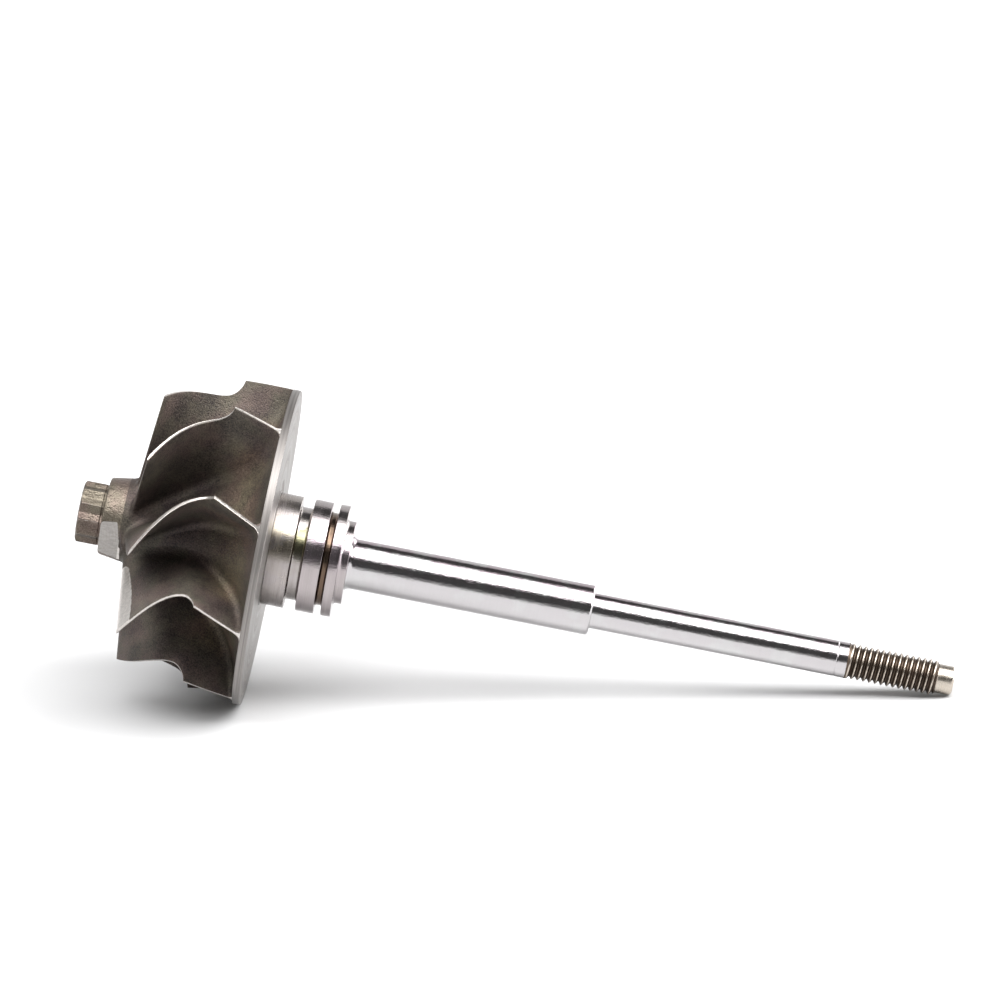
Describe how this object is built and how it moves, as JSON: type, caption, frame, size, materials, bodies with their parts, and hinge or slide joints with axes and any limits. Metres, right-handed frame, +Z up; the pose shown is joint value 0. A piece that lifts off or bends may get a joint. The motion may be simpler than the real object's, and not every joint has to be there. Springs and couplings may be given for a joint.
{
  "type": "turbocharger turbine wheel",
  "caption": "Turbine wheel and shaft: curved blades and a full back disc, a twelve-point nose, a grooved seal boss, a ground journal, a thin stem and a threaded end.",
  "frame": {"origin": "on the ground under the centre of the bounding box, with the rotor lying as in the picture", "axes": "+X along the ground from the nose to the threaded end, +Y away from the viewer, +Z up; the shaft slopes down towards +X by 11.8 degrees, because the rotor lies on its rim and on its threaded end"},
  "size_m": [0.1466, 0.0534, 0.0532],
  "materials": {
    "casting": "fine as-cast nickel alloy, heat darkened, brown-black in the passages",
    "nose_casting": "as-cast nickel alloy with bright facet edges and one ground flat",
    "turned_disc": "turned bright, fine rings",
    "turned_land": "satin turned",
    "groove": "turned, with a pale yellow heat tint",
    "ground_steel": "ground and polished, fine scratches round it",
    "thread": "dark bronze-brown flanks, bright crests",
    "tip": "turned bright, slight tan tint"
  },
  "bodies": {
    "root": {"hub": "casting", "blade_1": "casting", "blade_2": "casting", "blade_3": "casting", "blade_4": "casting", "blade_5": "casting", "blade_6": "casting", "blade_7": "casting", "blade_8": "casting", "blade_9": "casting", "nose_collar": "nose_casting", "twelve_point_drive": "nose_casting", "back_disc": "turned_disc", "boss_inner_land": "turned_land", "boss_middle_land": "turned_land", "boss_outer_land": "turned_land", "thrust_collar": "turned_land", "oil_groove_neck": "groove", "ring_groove_neck": "groove", "journal": "ground_steel", "stem": "ground_steel", "threaded_end": "thread", "pilot_tip": "tip"}
  },
  "joints": []
}
